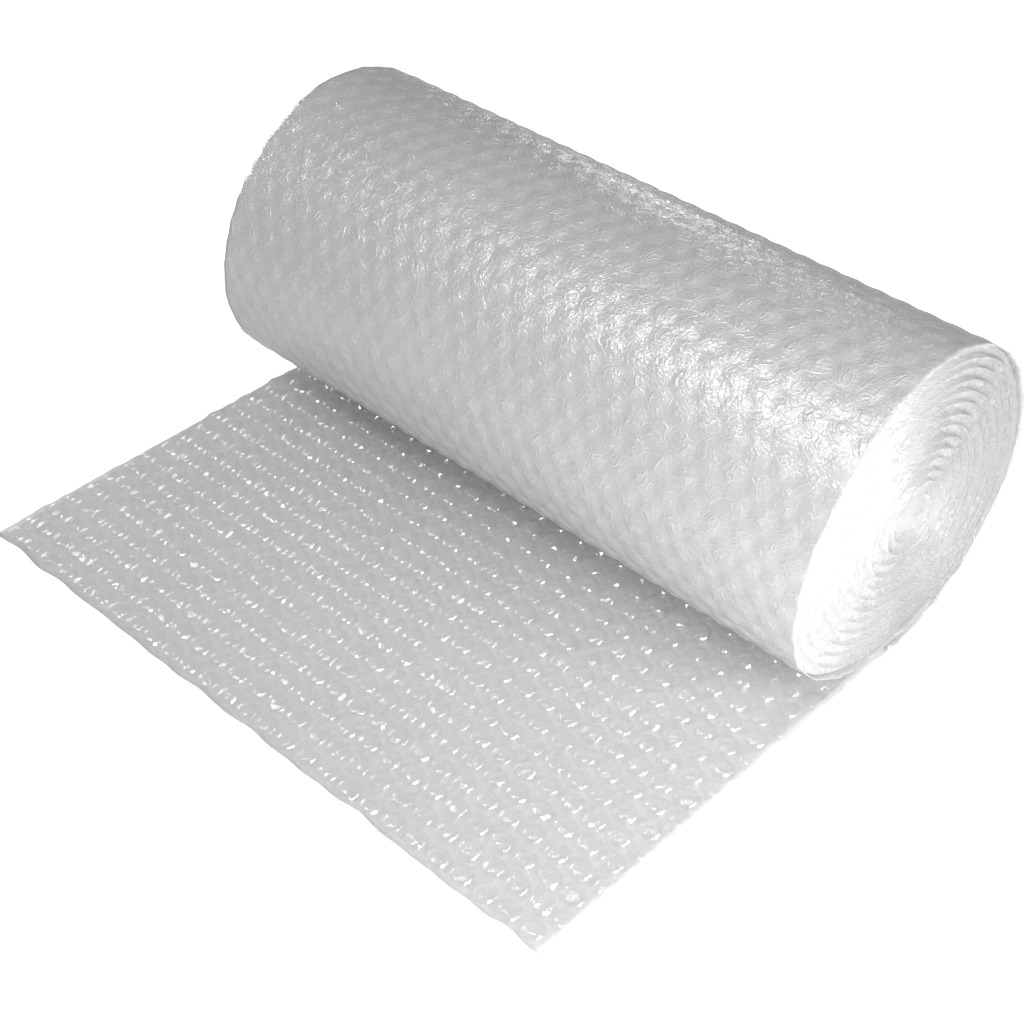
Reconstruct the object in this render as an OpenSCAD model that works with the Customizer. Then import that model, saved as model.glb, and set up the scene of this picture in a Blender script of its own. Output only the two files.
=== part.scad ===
// Roll of small-bubble cushioning film, lying on its side with the loose end of its web laid out flat.
// X runs along the roll, Y across it, and the loose end points to -Y. Z is up from the surface it lies on.
// The web is one piece: bubbles stand up on the loose end and face inwards everywhere on the roll.

/* [Web] */
// Width of the web, which is the length of the roll, mm
web_w = 300;
// From under the middle of the roll to the cut end, mm
loose_l = 196;
// The film, drawn several times its real thickness, mm
film_t = 0.4;

/* [Bubbles] */
bubble_d = 10;
bubble_h = 3.6;
// Flat film between two bubbles, mm
bubble_gap = 1;
// Rows at the nip that are too squashed to stand as single bubbles
nip_rows = 3;

/* [Roll] */
// Height of the roll as it lies, mm
roll_h = 133;
// Width across the middle over its height
roll_stretch = 0.96;
// How much fuller the low half is than the high half
roll_sag = 0.22;
// Share of the radius that the bottom is pressed flat by
roll_flat = 0.02;
// Air between one turn's bubbles and the next turn's film, mm
turn_clear = 0.4;
// How far a turn may stand out past its neighbours at the ends, mm
turn_wander = 0.4;
// Opening that the first turn was wound around, mm
core_d = 20;
// How far in from each end the turns stand apart, mm
end_depth = 4;

/* [Hidden] */

pitch = bubble_d + bubble_gap;
row = pitch * sin(60);
loose_rows = floor(loose_l / row);
cols = floor(web_w / pitch);

turn = film_t + bubble_h + turn_clear;
// The web has gone half a turn inwards when it reaches the top
roll_r = (roll_h + turn / 2) / (2 - roll_flat);
centre_z = roll_r * (1 - roll_flat);
wound_angle = 360 * (roll_r - core_d / 2) / turn;

// Half a bubble's section, from its foot to its top, as shares of its diameter and height
dome = [[0.5, 0], [0.45, 0.6], [0.22, 1]];
across = concat(dome, [for (i = [2:-1:0]) [-dome[i][0], dome[i][1]]]);

// Outline of a soft roll of radius 1 around its centre, where angle 0 is the bottom
function soft(a) = [
    roll_stretch * sin(a) * (1 + roll_sag * (1 + cos(a)) / 2),
    -min(cos(a), 1 - roll_flat)
];

// Radius of the web after winding inwards by angle a
function wound_r(a) = roll_r - turn * a / 360;
function wound(a) = [0, centre_z] + wound_r(a) * soft(a);

// The angle that one row of bubbles takes up
function row_angle(a) = row / norm(wound(a + 1) - wound(a));

// Creases between the rows, from the cut end to the nip and then around the roll to its middle
wound_creases = [for (a = 0; a < wound_angle; a = a + row_angle(a)) a];
creases = concat(
    [for (k = [loose_rows:-1:1]) [-loose_l * k / loose_rows, 0]],
    [for (a = wound_creases) wound(a)]
);
rows = len(creases) - 1;

// The crease that each turn starts at
turn_starts = [
    for (k = [0:len(wound_creases) - 1])
        if (k == 0 || floor(wound_creases[k] / 360) > floor(wound_creases[k - 1] / 360))
            loose_rows + k
];

function row_l(k) = norm(creases[k + 1] - creases[k]);
function along(k) = (creases[k + 1] - creases[k]) / row_l(k);
function inwards(k) = [-along(k)[1], along(k)[0]];
// How sharply the web bends at row k, as one over its radius
function bend(k) = k < loose_rows ? 0 : norm(along(min(k + 1, rows - 1)) - along(k - 1)) / (2 * row);
// A row is a straight step of the bend, so its bubbles are squashed by the height of that step's arc
function squashed_h(k) = bubble_h - row * row * bend(k) / 8;

// One rib across the web with a bubble's section, for row k
function rib_point(k, p) =
    let (h = film_t + p[1] * squashed_h(k))
    (creases[k] + creases[k + 1]) / 2
        + along(k) * p[0] * (row_l(k) - bubble_gap / 2) * (1 - h * bend(k))
        + inwards(k) * h;
function rib(k) = [for (p = across) rib_point(k, p)];

// A point a share of the film's thickness in from crease k, square to both rows that meet there
function in_film(k, share) =
    let (n = inwards(max(k - 1, 0)) + inwards(min(k, rows - 1)))
    creases[k] + share * film_t * n / norm(n);

module extrude_along_roll(length, shift = 0)
    translate([shift, 0, 0])
        rotate([90, 0, 90])
            linear_extrude(length, center = true)
                children();

// The web from one crease to another, with ribs from row first_rib on.
// Its film ends in a point that reaches into the next stretch of web.
module web_section(first, last, first_rib)
    polygon(concat(
        [for (k = [first:last]) if (k == first || k >= loose_rows) creases[k]],
        last < rows ? [in_film(last, 0.5) + film_t * along(last)] : [],
        [in_film(last, 1)],
        [for (k = [last - 1:-1:first_rib]) each rib(k)],
        [in_film(first, 1)]
    ));

// From the film of turn t to the film of the next turn, or to the middle for the last whole turn.
// The two lines run at different depths in the film, so they stay apart where one turn becomes the next.
module turn_inside_section(t) {
    next = turn_starts[t + 1];
    next_end = t + 2 < len(turn_starts) ? turn_starts[t + 2] : next;
    polygon(concat(
        [for (k = [turn_starts[t]:next]) in_film(k, 0.75)],
        [for (k = [next_end:-1:next]) in_film(k, 0.25)]
    ));
}

// No roll is wound quite true, so each turn sits a little to one side of the one around it.
// Deeper in than its ends show, the roll is solid.
module wound_turns()
    for (t = [0:len(turn_starts) - 1]) {
        whole = t + 1 < len(turn_starts);
        shift = turn_wander * sin(137 * t);
        extrude_along_roll(web_w, shift)
            web_section(turn_starts[t], whole ? turn_starts[t + 1] : rows, turn_starts[t]);
        if (whole)
            extrude_along_roll(web_w - 2 * end_depth, shift)
                turn_inside_section(t);
    }

module bubble()
    rotate_extrude($fn = 24)
        polygon(concat(
            [[0, film_t / 2], [bubble_d / 2, film_t / 2]],
            [for (i = [1:2]) [dome[i][0] * bubble_d, film_t + dome[i][1] * bubble_h]],
            [[0, film_t + bubble_h]]
        ));

// Every second row holds one bubble fewer and is set over by half a pitch
module loose_bubbles()
    for (k = [0:loose_rows - nip_rows - 1]) {
        in_row = cols - k % 2;
        for (c = [0:in_row - 1])
            translate([(c - (in_row - 1) / 2) * pitch, (creases[k][0] + creases[k + 1][0]) / 2, 0])
                bubble();
    }

module loose_end() {
    extrude_along_roll(web_w)
        web_section(0, loose_rows, loose_rows - nip_rows);
    loose_bubbles();
}

module bubble_wrap()
    color("whitesmoke") {
        loose_end();
        wound_turns();
    }

bubble_wrap();
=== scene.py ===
# Bubble wrap roll around its CAD frame, in metres. X is along the roll, its loose end towards -Y
import math
import random

import bmesh
import bpy
from mathutils import Matrix, Vector, noise


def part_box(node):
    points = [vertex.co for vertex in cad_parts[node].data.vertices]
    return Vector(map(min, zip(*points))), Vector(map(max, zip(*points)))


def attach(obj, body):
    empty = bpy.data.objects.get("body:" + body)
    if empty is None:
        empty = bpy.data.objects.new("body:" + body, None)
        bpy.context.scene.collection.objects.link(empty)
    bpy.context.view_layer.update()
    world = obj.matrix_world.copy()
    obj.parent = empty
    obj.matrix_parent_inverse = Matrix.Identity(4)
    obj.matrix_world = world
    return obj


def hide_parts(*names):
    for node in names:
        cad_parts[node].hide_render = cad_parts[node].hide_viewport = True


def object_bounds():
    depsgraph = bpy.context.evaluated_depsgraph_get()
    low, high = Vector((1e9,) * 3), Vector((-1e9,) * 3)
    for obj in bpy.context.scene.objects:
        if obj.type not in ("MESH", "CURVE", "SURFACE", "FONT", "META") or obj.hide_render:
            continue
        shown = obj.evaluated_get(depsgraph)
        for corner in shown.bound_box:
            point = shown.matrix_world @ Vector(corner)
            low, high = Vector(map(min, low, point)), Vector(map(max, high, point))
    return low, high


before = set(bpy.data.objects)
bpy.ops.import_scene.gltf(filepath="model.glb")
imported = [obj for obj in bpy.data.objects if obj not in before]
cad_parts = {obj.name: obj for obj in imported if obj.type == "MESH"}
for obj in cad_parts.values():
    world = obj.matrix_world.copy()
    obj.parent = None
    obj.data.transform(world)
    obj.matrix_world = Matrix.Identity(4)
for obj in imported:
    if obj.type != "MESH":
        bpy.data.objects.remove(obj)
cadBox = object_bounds()
low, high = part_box("bubble_wrap")
print("frame loaded")

# The web: the same lattice of bubbles and the same winding as the solid. Angles are in degrees
web = {
    "width": 0.300,
    "looseLength": -low[1],
    "filmThickness": 0.0004,
    "bubbleDiameter": 0.010,
    "bubbleHeight": 0.0036,
    "bubbleGap": 0.001,
    "latticeAngle": 60,
    "turnClear": 0.0004,
    "rollHeight": high[2],
    "rollStretch": 0.96,
    "rollSag": 0.22,
    "rollFlat": 0.02,
    "coreDiameter": 0.020,
    "turnWander": 0.0004,
    "wanderAngle": 137,
}
pitch = web["bubbleDiameter"] + web["bubbleGap"]
rowStep = pitch * math.sin(math.radians(web["latticeAngle"]))
looseRows = int(web["looseLength"] / rowStep)
columns = int(web["width"] / pitch)
turnStep = web["filmThickness"] + web["bubbleHeight"] + web["turnClear"]
rollRadius = (web["rollHeight"] + turnStep / 2) / (2 - web["rollFlat"])
rollCentre = Vector((0, rollRadius * (1 - web["rollFlat"])))
woundAngle = 360 * (rollRadius - web["coreDiameter"] / 2) / turnStep


def softOutline(angle):
    # a soft roll of radius 1, where angle 0 is the bottom
    a = math.radians(angle)
    wide = web["rollStretch"] * (1 + web["rollSag"] * (1 + math.cos(a)) / 2)
    return Vector((wide * math.sin(a), -min(math.cos(a), 1 - web["rollFlat"])))


def woundPoint(angle):
    return rollCentre + (rollRadius - turnStep * angle / 360) * softOutline(angle)


# The angle of each crease between two rows, one row's length on from the last
woundCreases = [0.0]
while woundCreases[-1] < woundAngle:
    here = woundCreases[-1]
    woundCreases.append(here + rowStep / (woundPoint(here + 1) - woundPoint(here)).length)
rowCount = looseRows + len(woundCreases) - 1
firstTurnRows = sum(1 for a in woundCreases if a < 360)
print("web wound:", rowCount, "rows,", round(woundAngle / 360, 1), "turns")


def lastCrease(row):
    # the crease on the roll that a row number has passed
    return min(int(row) - looseRows, len(woundCreases) - 2)


def webPoint(row):
    # where the film is at a row number, as y and z, and the way that its bubbles point
    if row < looseRows:
        along = (row - looseRows) * web["looseLength"] / looseRows
        return Vector((along, 0)), Vector((0, 1))
    index = lastCrease(row)
    share = row - looseRows - index
    angle = woundCreases[index] * (1 - share) + woundCreases[index + 1] * share
    step = woundPoint(angle + 0.5) - woundPoint(angle - 0.5)
    return woundPoint(angle), Vector((-step[1], step[0])).normalized()


def turnShift(row):
    # no roll is wound quite true, so each turn sits a little to one side
    if row < looseRows:
        return 0
    turn = int(woundCreases[lastCrease(row)] / 360)
    return web["turnWander"] * math.sin(math.radians(web["wanderAngle"] * turn))


def finishPiece(name, shape, material, smooth=True):
    mesh = bpy.data.meshes.new(name)
    shape.to_mesh(mesh)
    shape.free()
    for polygon in mesh.polygons:
        polygon.use_smooth = smooth
    mesh.materials.append(material)
    piece = bpy.data.objects.new(name, mesh)
    bpy.context.scene.collection.objects.link(piece)
    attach(piece, "root")
    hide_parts("bubble_wrap")
    print(name, len(mesh.polygons), "faces")


# Shader expressions: a wired value that takes part in sums
class Signal:
    def __init__(self, shader, socket):
        self.shader = shader
        self.socket = socket

    def maths(self, operation, *values):
        return self.shader.node("ShaderNodeMath", {"operation": operation}, dict(enumerate(values)))

    def __add__(self, other):
        return self.maths("ADD", self, other)

    def __radd__(self, other):
        return self.maths("ADD", other, self)

    def __sub__(self, other):
        return self.maths("SUBTRACT", self, other)

    def __rsub__(self, other):
        return self.maths("SUBTRACT", other, self)

    def __mul__(self, other):
        return self.maths("MULTIPLY", self, other)

    def __rmul__(self, other):
        return self.maths("MULTIPLY", other, self)

    def __truediv__(self, other):
        return self.maths("DIVIDE", self, other)

    def __pow__(self, other):
        return self.maths("POWER", self, other)

    def floor(self):
        return self.maths("FLOOR", self)

    def fraction(self):
        return self.maths("FRACT", self)

    def size(self):
        return self.maths("ABSOLUTE", self)

    def atLeast(self, other):
        return self.maths("MAXIMUM", self, other)

    def atMost(self, other):
        return self.maths("MINIMUM", self, other)

    def asShare(self):
        return self.atLeast(0.0).atMost(1.0)


class Shader:
    def __init__(self, owner):
        owner.use_nodes = True
        self.tree = owner.node_tree

    def feed(self, socket, value):
        if isinstance(value, Signal):
            self.tree.links.new(value.socket, socket)
        else:
            socket.default_value = value

    def node(self, kind, settings, values, output=0):
        made = self.tree.nodes.new(kind)
        for setting, value in settings.items():
            setattr(made, setting, value)
        for socket, value in values.items():
            self.feed(made.inputs[socket], value)
        return Signal(self, made.outputs[output])

    def set(self, values, kind="Principled BSDF"):
        for socket, value in values.items():
            self.feed(self.tree.nodes[kind].inputs[socket], value)

    def coords(self, kind="Object"):
        return self.node("ShaderNodeTexCoord", {}, {}, kind)

    def part(self, vector, axis):
        return self.node("ShaderNodeSeparateXYZ", {}, {0: vector}, axis)

    def seenBy(self, rays):
        return self.node("ShaderNodeLightPath", {}, {}, rays)

    def clouds(self, where, scale, detail=2.0, roughness=0.5, distortion=0.0):
        values = {
            "Vector": where,
            "Scale": scale,
            "Detail": detail,
            "Roughness": roughness,
            "Distortion": distortion,
        }
        return self.node("ShaderNodeTexNoise", {}, values)

    def creaseLines(self, where, scale, width):
        # thin curved ridges, as creased film has
        level = self.clouds(where, scale, detail=1.0, distortion=1.2)
        return (1 - (level - 0.5).size() / width).atLeast(0.0)

    def mixed(self, factor, first, second):
        values = {0: factor, 6: first, 7: second}
        return self.node("ShaderNodeMix", {"data_type": "RGBA"}, values, 2)

    def bump(self, height, distance, strength):
        values = {"Strength": strength, "Distance": distance, "Height": height}
        return self.node("ShaderNodeBump", {}, values)


# The loose end's film, which is greyish where it lies on white
looseLook = {
    "light": (0.66, 0.66, 0.665, 1),
    "dark": (0.61, 0.61, 0.615, 1),
    "haze": {"scale": 40.0},
    "creases": {"scale": 900.0, "detail": 3.0, "roughness": 0.6, "distortion": 1.5},
    "dents": {"scale": 330.0},
    "creaseHeight": 0.4,
    "bump": {"distance": 0.0008, "strength": 0.5},
    "roughness": 0.30,
    "hazeRoughness": 0.15,
    "ior": 1.5,
}


def looseFilmMaterial():
    material = bpy.data.materials.new("loose film")
    shader = Shader(material)
    where = shader.coords()
    haze = shader.clouds(where, **looseLook["haze"])
    creases = shader.clouds(where, **looseLook["creases"])
    dents = shader.clouds(where, **looseLook["dents"])
    height = creases * looseLook["creaseHeight"] + dents
    shader.set({
        "Base Color": shader.mixed(haze, looseLook["dark"], looseLook["light"]),
        "Roughness": looseLook["roughness"] + looseLook["hazeRoughness"] * haze,
        "IOR": looseLook["ior"],
        "Normal": shader.bump(height, **looseLook["bump"]),
    })
    return material


# Clear film shows little but what it reflects, so a bubble is a faint mirror over what is behind
bubbleLook = {
    "body": (0.97, 0.97, 0.97, 1),
    "creases": {"scale": 900.0, "roughness": 0.6, "distortion": 1.0},
    "dents": {"scale": 330.0, "detail": 1.0, "distortion": 0.6},
    "creaseHeight": 0.2,
    "bump": {"distance": 0.0012, "strength": 0.44},
    "roughness": 0.07,
    "dentRoughness": 0.08,
    "edgeBlend": 0.3,
    "edgeAlpha": 0.04,
    "loose": {"alpha": 0.115, "metal": 0.95},
    "end": {"alpha": 0.32, "metal": 0.7},
}


def bubbleMaterial(name, alpha, metal):
    material = bpy.data.materials.new(name)
    shader = Shader(material)
    where = shader.coords()
    creases = shader.clouds(where, **bubbleLook["creases"])
    dents = shader.clouds(where, **bubbleLook["dents"])
    height = creases * bubbleLook["creaseHeight"] + dents
    edge = shader.node("ShaderNodeLayerWeight", {}, {"Blend": bubbleLook["edgeBlend"]}, "Facing")
    shader.set({
        "Base Color": bubbleLook["body"],
        "Metallic": metal,
        "Roughness": bubbleLook["roughness"] + bubbleLook["dentRoughness"] * dents,
        "Alpha": (alpha + bubbleLook["edgeAlpha"] * edge * edge).atMost(1.0),
        "Normal": shader.bump(height, **bubbleLook["bump"]),
    })
    return material


# The outside of the roll. A cell of the lattice is measured in bubble diameters, squared
outerLook = {
    "light": (0.60, 0.60, 0.605, 1),
    "dark": (0.52, 0.52, 0.525, 1),
    # painted highlight: the lighter colour given to the creases over the bubbles, where the lamps'
    # glints fall
    "paintedGlint": (0.66, 0.66, 0.665, 1),
    "haze": {"scale": 30.0},
    "warp": {"scale": 240.0},
    "lines": {"scale": 170.0, "width": 0.06},
    "fineLines": {"scale": 420.0, "width": 0.09},
    "folds": {"scale": 300.0, "distortion": 2.5},
    "cellWidth": 1.21,
    "cellLength": 0.91,
    "bubbleEdge": 0.62,
    "bubbleWarp": 0.5,
    "bubbleFade": 3.0,
    # how far the creases over the bubbles take on the painted highlight
    "paintedGlintShare": 0.7,
    "lineHeight": 0.24,
    "fineLineHeight": 0.07,
    "foldHeight": 0.4,
    "bubbleHeight": 0.12,
    "bump": {"distance": 0.0009, "strength": 0.65},
    "roughness": 0.14,
    "hazeRoughness": 0.08,
    "ior": 2.3,
}


def overBubbles(shader, warp):
    # 1 over a bubble, 0 between them. The UV map counts bubbles along the roll and rows around it
    uv = shader.coords("UV")
    row = shader.part(uv, "Y")
    odd = (row.floor() * 0.5).fraction()
    column = shader.part(uv, "X") + odd
    across = column.fraction() - 0.5
    along = row.fraction() - 0.5
    squares = across * across * outerLook["cellWidth"] + along * along * outerLook["cellLength"]
    inside = outerLook["bubbleEdge"] - squares ** 0.5 + outerLook["bubbleWarp"] * (warp - 0.5)
    return (inside * outerLook["bubbleFade"]).asShare()


def outerFilmMaterial():
    material = bpy.data.materials.new("outer film")
    shader = Shader(material)
    where = shader.coords()
    haze = shader.clouds(where, **outerLook["haze"])
    lines = shader.creaseLines(where, **outerLook["lines"])
    fineLines = shader.creaseLines(where, **outerLook["fineLines"])
    folds = shader.clouds(where, **outerLook["folds"])
    bubbles = overBubbles(shader, shader.clouds(where, **outerLook["warp"]))
    body = shader.mixed(haze, outerLook["dark"], outerLook["light"])
    height = (lines * bubbles * outerLook["lineHeight"] + fineLines * outerLook["fineLineHeight"]
              + folds * outerLook["foldHeight"] + bubbles * outerLook["bubbleHeight"])
    # painted highlight: the crease lines over each bubble are coloured lighter, like glints of the
    # lamps
    paintedGlints = bubbles * lines * outerLook["paintedGlintShare"]
    shader.set({
        "Base Color": shader.mixed(paintedGlints, body, outerLook["paintedGlint"]),
        "Roughness": outerLook["roughness"] + outerLook["hazeRoughness"] * haze,
        "IOR": outerLook["ior"],
        "Normal": shader.bump(height, **outerLook["bump"]),
    })
    return material


# The turns inside the roll, milky where they lie on each other, with painted shade that makes them
# greyer towards the back
turnsLook = {
    "light": (0.57, 0.57, 0.57, 1),
    # painted shade: the grey of the turns towards the back
    "dark": (0.40, 0.40, 0.405, 1),
    "haze": {"scale": 60.0},
    "curls": {"scale": 190.0, "width": 0.08},
    "dents": {"scale": 330.0, "distortion": 1.5},
    "shadePerMetre": 14.0,
    "shadeFrom": 0.1,
    "curlHeight": 0.18,
    "dentHeight": 0.8,
    "bump": {"distance": 0.001, "strength": 0.7},
    "roughness": 0.22,
}


def turnsMaterial():
    material = bpy.data.materials.new("inner turns")
    shader = Shader(material)
    where = shader.coords()
    haze = shader.clouds(where, **turnsLook["haze"])
    curls = shader.creaseLines(where, **turnsLook["curls"])
    dents = shader.clouds(where, **turnsLook["dents"])
    # painted shade, which darkens the turns towards the back, with a little random haze
    towardsBack = shader.part(where, "Y") * turnsLook["shadePerMetre"]
    paintedShade = (towardsBack + haze - turnsLook["shadeFrom"]).asShare()
    height = curls * turnsLook["curlHeight"] + dents * turnsLook["dentHeight"]
    shader.set({
        "Base Color": shader.mixed(paintedShade, turnsLook["light"], turnsLook["dark"]),
        "Roughness": turnsLook["roughness"],
        "Normal": shader.bump(height, **turnsLook["bump"]),
    })
    return material


looseFilm = looseFilmMaterial()
looseBubble = bubbleMaterial("loose bubbles", **bubbleLook["loose"])
endBubble = bubbleMaterial("end bubbles", **bubbleLook["end"])
outerFilm = outerFilmMaterial()
innerTurns = turnsMaterial()
print("film finishes made")

# The film itself, as a thin shell laid along the web. The outer film reaches into the second turn
film = {
    "loosePerBubble": 4,
    "loosePerRow": 3,
    "outerPerBubble": 6,
    "outerPerRow": 5,
    "outerExtraRows": 2,
    "innerAcross": 2,
    "innerPerRow": 2,
    "bulge": 0.0004,
}

# Its slit edges and its cut end, which lift and sway in waves. A path is a line through the noise
edges = {
    "band": 0.008,
    "lift": 0.0010,
    "sway": 0.0015,
    "rise": 0.2,
    "wavesPerRow": 1.1,
    "slitPath": 3,
    "cutRows": 1.5,
    "cutSwayWaves": 70,
    "cutSwayPath": 5,
    "cutLiftWaves": 40,
    "cutLiftPath": 9,
}


def bulgeAt(across, row):
    # how far the outer film stands out over the bubble below it, as a share
    line = math.floor(row)
    shift = 0.5 * (line % 2)
    dx = ((across + shift) % 1 - 0.5) * pitch
    dy = (row - line - 0.5) * rowStep
    away = math.hypot(dx, dy) / (0.5 * web["bubbleDiameter"])
    return max(0.0, 1 - away * away) ** 2


def bubblesAcross(x):
    # x goes from -1 at one slit edge to 1 at the other, and bubble 0 is the first whole one
    margin = (web["width"] / pitch - columns) / 2
    return (x + 1) / 2 * web["width"] / pitch - margin


def filmPoint(x, row, bulge):
    (py, pz), inwards = webPoint(row)
    out = bulge * bulgeAt(bubblesAcross(x), row) if bulge else 0
    halfWidth = web["width"] / 2
    edge = max(0, abs(x) * halfWidth - halfWidth + edges["band"]) / edges["band"]
    path = math.copysign(edges["slitPath"], x)
    wave = noise.noise(Vector((path, row * edges["wavesPerRow"], 0)))
    px = x * halfWidth + turnShift(row) + math.copysign(edge * edges["sway"] * wave, x)
    if row < looseRows:
        cut = max(0, 1 - row / edges["cutRows"])
        swayed = noise.noise(Vector((px * edges["cutSwayWaves"], edges["cutSwayPath"], 0)))
        lifted = noise.noise(Vector((px * edges["cutLiftWaves"], edges["cutLiftPath"], 0)))
        py += cut * edges["sway"] * swayed
        pz += edges["lift"] * max(edge * (wave + edges["rise"]), cut * lifted, 0)
    return Vector((px, py - out * inwards[0], max(0, pz - out * inwards[1])))


def layFilm(name, firstRow, lastRow, acrossSteps, alongSteps, material, bulge=0.0):
    shape = bmesh.new()
    uv = shape.loops.layers.uv.new("web")
    bmesh.ops.create_grid(shape, x_segments=acrossSteps, y_segments=alongSteps, size=1)

    def rowAt(y):
        return firstRow + (y + 1) / 2 * (lastRow - firstRow)

    for face in shape.faces:
        for corner in face.loops:
            x, y, _ = corner.vert.co
            corner[uv].uv = (bubblesAcross(x), rowAt(y))
    for vert in shape.verts:
        x, y, _ = vert.co
        vert.co = filmPoint(x, rowAt(y), bulge)
    shape.normal_update()
    bmesh.ops.solidify(shape, geom=shape.faces, thickness=-web["filmThickness"])
    bmesh.ops.recalc_face_normals(shape, faces=shape.faces)
    finishPiece(name, shape, material)


outerRows = firstTurnRows + film["outerExtraRows"]
innerRow = looseRows + outerRows
layFilm("loose_film", 0, looseRows, columns * film["loosePerBubble"],
        looseRows * film["loosePerRow"], looseFilm)
layFilm("outer_turn", looseRows, innerRow, columns * film["outerPerBubble"],
        outerRows * film["outerPerRow"], outerFilm, film["bulge"])
layFilm("inner_turns", innerRow, rowCount, film["innerAcross"],
        (rowCount - innerRow) * film["innerPerRow"], innerTurns)

# Deeper in than the ends show, the turns are one milky mass
filling = {
    "depth": 0.0027,
    "inset": 0.12,
    "stepAngle": 6,
}


def fillRoll():
    shape = bmesh.new()
    inset = 1 - filling["inset"] * turnStep / rollRadius
    depth = web["width"] / 2 - filling["depth"]
    ring = []
    for angle in range(0, 360, filling["stepAngle"]):
        corner = rollCentre + inset * (woundPoint(angle) - rollCentre)
        ring.append(shape.verts.new((-depth, *corner)))
    cap = shape.faces.new(ring)
    grown = bmesh.ops.extrude_face_region(shape, geom=[cap])["geom"]
    farEnd = [part for part in grown if isinstance(part, bmesh.types.BMVert)]
    bmesh.ops.translate(shape, verts=farEnd, vec=(2 * depth, 0, 0))
    bmesh.ops.recalc_face_normals(shape, faces=shape.faces)
    finishPiece("roll_inside", shape, innerTurns, smooth=False)


fillRoll()

# The bubbles, as domes that stand on the film. The profile is in shares of a bubble's size
bubble = {
    "profile": ((0.50, 0.0), (0.475, 0.40), (0.40, 0.70), (0.28, 0.88), (0.14, 0.97), (0.0, 1.0)),
    "looseSides": 16,
    "endSides": 12,
    "shapes": 12,
    "dent": 0.00048,
    "dentWaves": 260,
    "dentStep": 7.3,
    "lean": 50.0,
    "lowest": 0.84,
    "slit": 0.0004,
    "weld": 1e-6,
    "seed": 27,
}


def bubbleShapes(sides):
    # a few bubbles, each dented a little in its own way, and the same in each run
    noise.seed_set(bubble["seed"])
    shapes = []
    for index in range(bubble["shapes"]):
        shape = bmesh.new()
        line = [shape.verts.new((r * web["bubbleDiameter"], 0, h * web["bubbleHeight"]))
                for r, h in bubble["profile"]]
        steps = [shape.edges.new(pair) for pair in zip(line, line[1:])]
        bmesh.ops.spin(shape, geom=line + steps, cent=(0, 0, 0), axis=(0, 0, 1), dvec=(0, 0, 0),
                       angle=math.tau, steps=sides, use_merge=True, use_duplicate=False)
        bmesh.ops.remove_doubles(shape, verts=shape.verts, dist=bubble["weld"])
        bmesh.ops.recalc_face_normals(shape, faces=shape.faces)
        for vert in shape.verts:
            x, y, z = vert.co
            place = (x * bubble["dentWaves"], y * bubble["dentWaves"], index * bubble["dentStep"])
            push = noise.noise_vector(Vector(place))
            vert.co += push * bubble["dent"] * (z / web["bubbleHeight"])
        mesh = bpy.data.meshes.new("bubble_shape")
        shape.to_mesh(mesh)
        shape.free()
        shapes.append(mesh)
    return shapes


def bubblesInRow(row):
    # places across the web: every second row is set over, and its outermost ones are cut in half
    count = columns + row % 2
    return [(c - (count - 1) / 2) * pitch for c in range(count)]


def trimAtSlit(shape, side):
    # the bubbles that the slit goes through stay open there, as real ones do
    everything = shape.verts[:] + shape.edges[:] + shape.faces[:]
    slit = side * (web["width"] / 2 - bubble["slit"])
    bmesh.ops.bisect_plane(shape, geom=everything, dist=bubble["weld"], plane_co=(slit, 0, 0),
                           plane_no=(side, 0, 0), clear_outer=True)


def standBubbles(name, rows, sides, material, chosen=slice(None)):
    chance = random.Random(bubble["seed"])
    shapes = bubbleShapes(sides)
    shape = bmesh.new()
    for row in rows:
        (py, pz), (iy, iz) = webPoint(row + 0.5)
        py += iy * web["filmThickness"]
        pz += iz * web["filmThickness"]
        upright = Matrix(((1, 0, 0), (0, iz, iy), (0, -iy, iz))).to_4x4()
        for px in bubblesInRow(row)[chosen]:
            # its top leans, and its foot stays in the film
            leanX = chance.uniform(-1, 1) * bubble["lean"]
            leanY = chance.uniform(-1, 1) * bubble["lean"]
            turned = Matrix.Rotation(chance.uniform(0, math.tau), 4, "Z")
            size = Matrix.Diagonal((1, 1, chance.uniform(bubble["lowest"], 1.0), 1))
            foot = Matrix.Translation((px + turnShift(row), py, pz))
            one = shapes[chance.randrange(len(shapes))].copy()
            for vert in one.vertices:
                vert.co.z *= 1 + leanX * vert.co.x + leanY * vert.co.y
            one.transform(foot @ upright @ turned @ size)
            shape.from_mesh(one)
            bpy.data.meshes.remove(one)
    for mesh in shapes:
        bpy.data.meshes.remove(mesh)
    for side in (-1, 1):
        trimAtSlit(shape, side)
    finishPiece(name, shape, material)


woundRows = range(looseRows, rowCount)
standBubbles("loose_bubbles", range(looseRows), bubble["looseSides"], looseBubble)
standBubbles("near_end_bubbles", woundRows, bubble["endSides"], endBubble, slice(-1, None))
standBubbles("far_end_bubbles", woundRows, bubble["endSides"], endBubble, slice(1))


def directionTo(azimuth, elevation):
    az, el = math.radians(azimuth), math.radians(elevation)
    return Vector((math.sin(az) * math.cos(el), -math.cos(az) * math.cos(el), math.sin(el)))


# The camera, at the angle that the photograph was taken from, with its focal length in pixels
camera = {
    "azimuth": 42.96,
    "elevation": 39.92,
    "roll": 0.667,
    "focal": 1830.5,
    "frame": 1024,
    "sensor": 36,
    "clipStart": 0.01,
    "distance": 2.37 * web["width"],
    "target": Vector((0.0519, -0.2243, 0.1012)) * web["width"],
}


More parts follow.
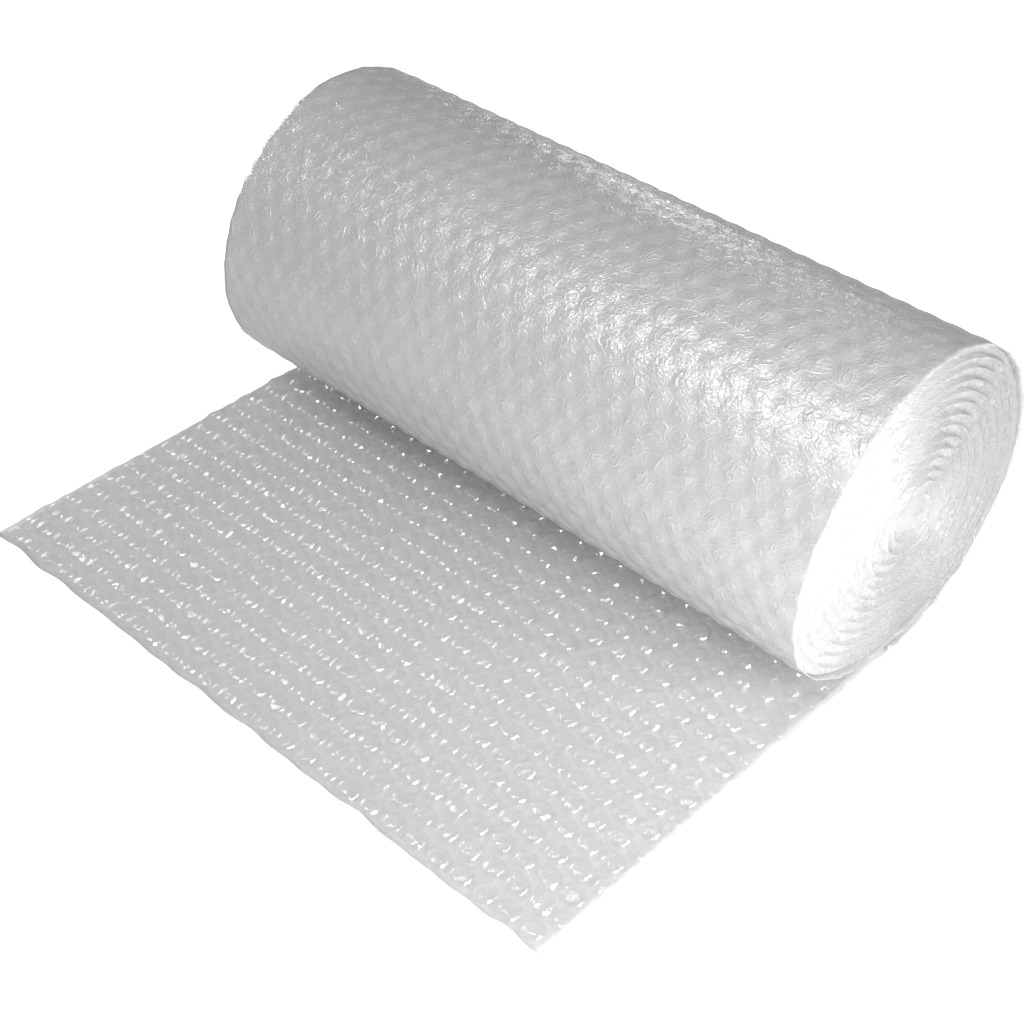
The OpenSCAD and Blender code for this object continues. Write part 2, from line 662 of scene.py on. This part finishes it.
def placeCamera():
    az, roll = math.radians(camera["azimuth"]), math.radians(camera["roll"])
    back = directionTo(camera["azimuth"], camera["elevation"])
    right = Vector((math.cos(az), math.sin(az), 0))
    up = back.cross(right)
    turnedRight = math.cos(roll) * right + math.sin(roll) * up
    turnedUp = math.cos(roll) * up - math.sin(roll) * right
    lens = bpy.data.cameras.new("camera")
    lens.sensor_width = camera["sensor"]
    lens.lens = camera["focal"] / camera["frame"] * lens.sensor_width
    lens.clip_start = camera["clipStart"]
    eye = bpy.data.objects.new("camera", lens)
    axes = Matrix((turnedRight, turnedUp, back)).transposed().to_4x4()
    eye.matrix_world = Matrix.Translation(camera["target"] + back * camera["distance"]) @ axes
    bpy.context.scene.collection.objects.link(eye)
    bpy.context.scene.camera = eye


placeCamera()
print("camera placed")

# A plain studio: soft light all round, a small key light for the glints, and lesser lights
studio = {
    "sky": 0.26,
    "gloss": 0.42,
    "floorColour": (0.96, 0.96, 0.96, 1),
    "floorRoughness": 0.9,
    "floorShine": 0.1,
    "floorGlow": 0.78,
    "floorSize": 6.0,
    "floorDrop": 0.0003,
    # name, azimuth, elevation, distance, width, power
    "lights": (
        ("key", -27, 60, 0.79, 0.25, 1.2),
        ("side", 66, 16, 0.62, 0.20, 3.3),
        ("right", 98, 20, 0.66, 0.24, 1.1),
        ("top", 10, 80, 1.5, 0.36, 1.3),
        ("left", -97, 7, 1.0, 0.4, 2.0),
        ("rim", -150, 8, 1.6, 0.22, 0.9),
    ),
}


def floorMaterial():
    # only the camera sees it glow, so the object gets no light from it but what it reflects
    material = bpy.data.materials.new("floor")
    shader = Shader(material)
    glow = studio["floorGlow"]
    black, white = (0, 0, 0, 1), (glow, glow, glow, 1)
    shader.set({
        "Base Color": studio["floorColour"],
        "Roughness": studio["floorRoughness"],
        "Specular IOR Level": studio["floorShine"],
        "Emission Color": shader.mixed(shader.seenBy("Is Camera Ray"), black, white),
        "Emission Strength": 1.0,
    })
    return material


def layFloor():
    shape = bmesh.new()
    bmesh.ops.create_grid(shape, x_segments=1, y_segments=1, size=studio["floorSize"] / 2)
    bmesh.ops.translate(shape, verts=shape.verts, vec=(0, 0, -studio["floorDrop"]))
    mesh = bpy.data.meshes.new("floor")
    shape.to_mesh(mesh)
    shape.free()
    mesh.materials.append(floorMaterial())
    floor = bpy.data.objects.new("floor", mesh)
    bpy.context.scene.collection.objects.link(floor)


def lightSky():
    # white to the camera, lighter to shiny film than to the rest
    world = bpy.data.worlds.new("studio")
    bpy.context.scene.world = world
    sky = Shader(world)
    forCamera = sky.seenBy("Is Camera Ray") * (1 - studio["sky"])
    forShine = sky.seenBy("Is Glossy Ray") * (studio["gloss"] - studio["sky"])
    brightness = studio["sky"] + forCamera + forShine
    sky.set({"Color": (1, 1, 1, 1), "Strength": brightness}, "Background")


def placeLight(name, azimuth, elevation, distance, width, power):
    towards = directionTo(azimuth, elevation)
    lamp = bpy.data.lights.new(name, "AREA")
    lamp.shape = "DISK"
    lamp.size = width
    lamp.energy = power
    lit = bpy.data.objects.new(name, lamp)
    middle = (Vector(cadBox[0]) + Vector(cadBox[1])) / 2
    facing = towards.to_track_quat("Z", "Y").to_matrix().to_4x4()
    lit.matrix_world = Matrix.Translation(middle + towards * distance) @ facing
    bpy.context.scene.collection.objects.link(lit)


layFloor()
lightSky()
for light in studio["lights"]:
    placeLight(*light)
bpy.context.scene.view_settings.view_transform = "Standard"
print("studio lit")

bpy.context.view_layer.update()
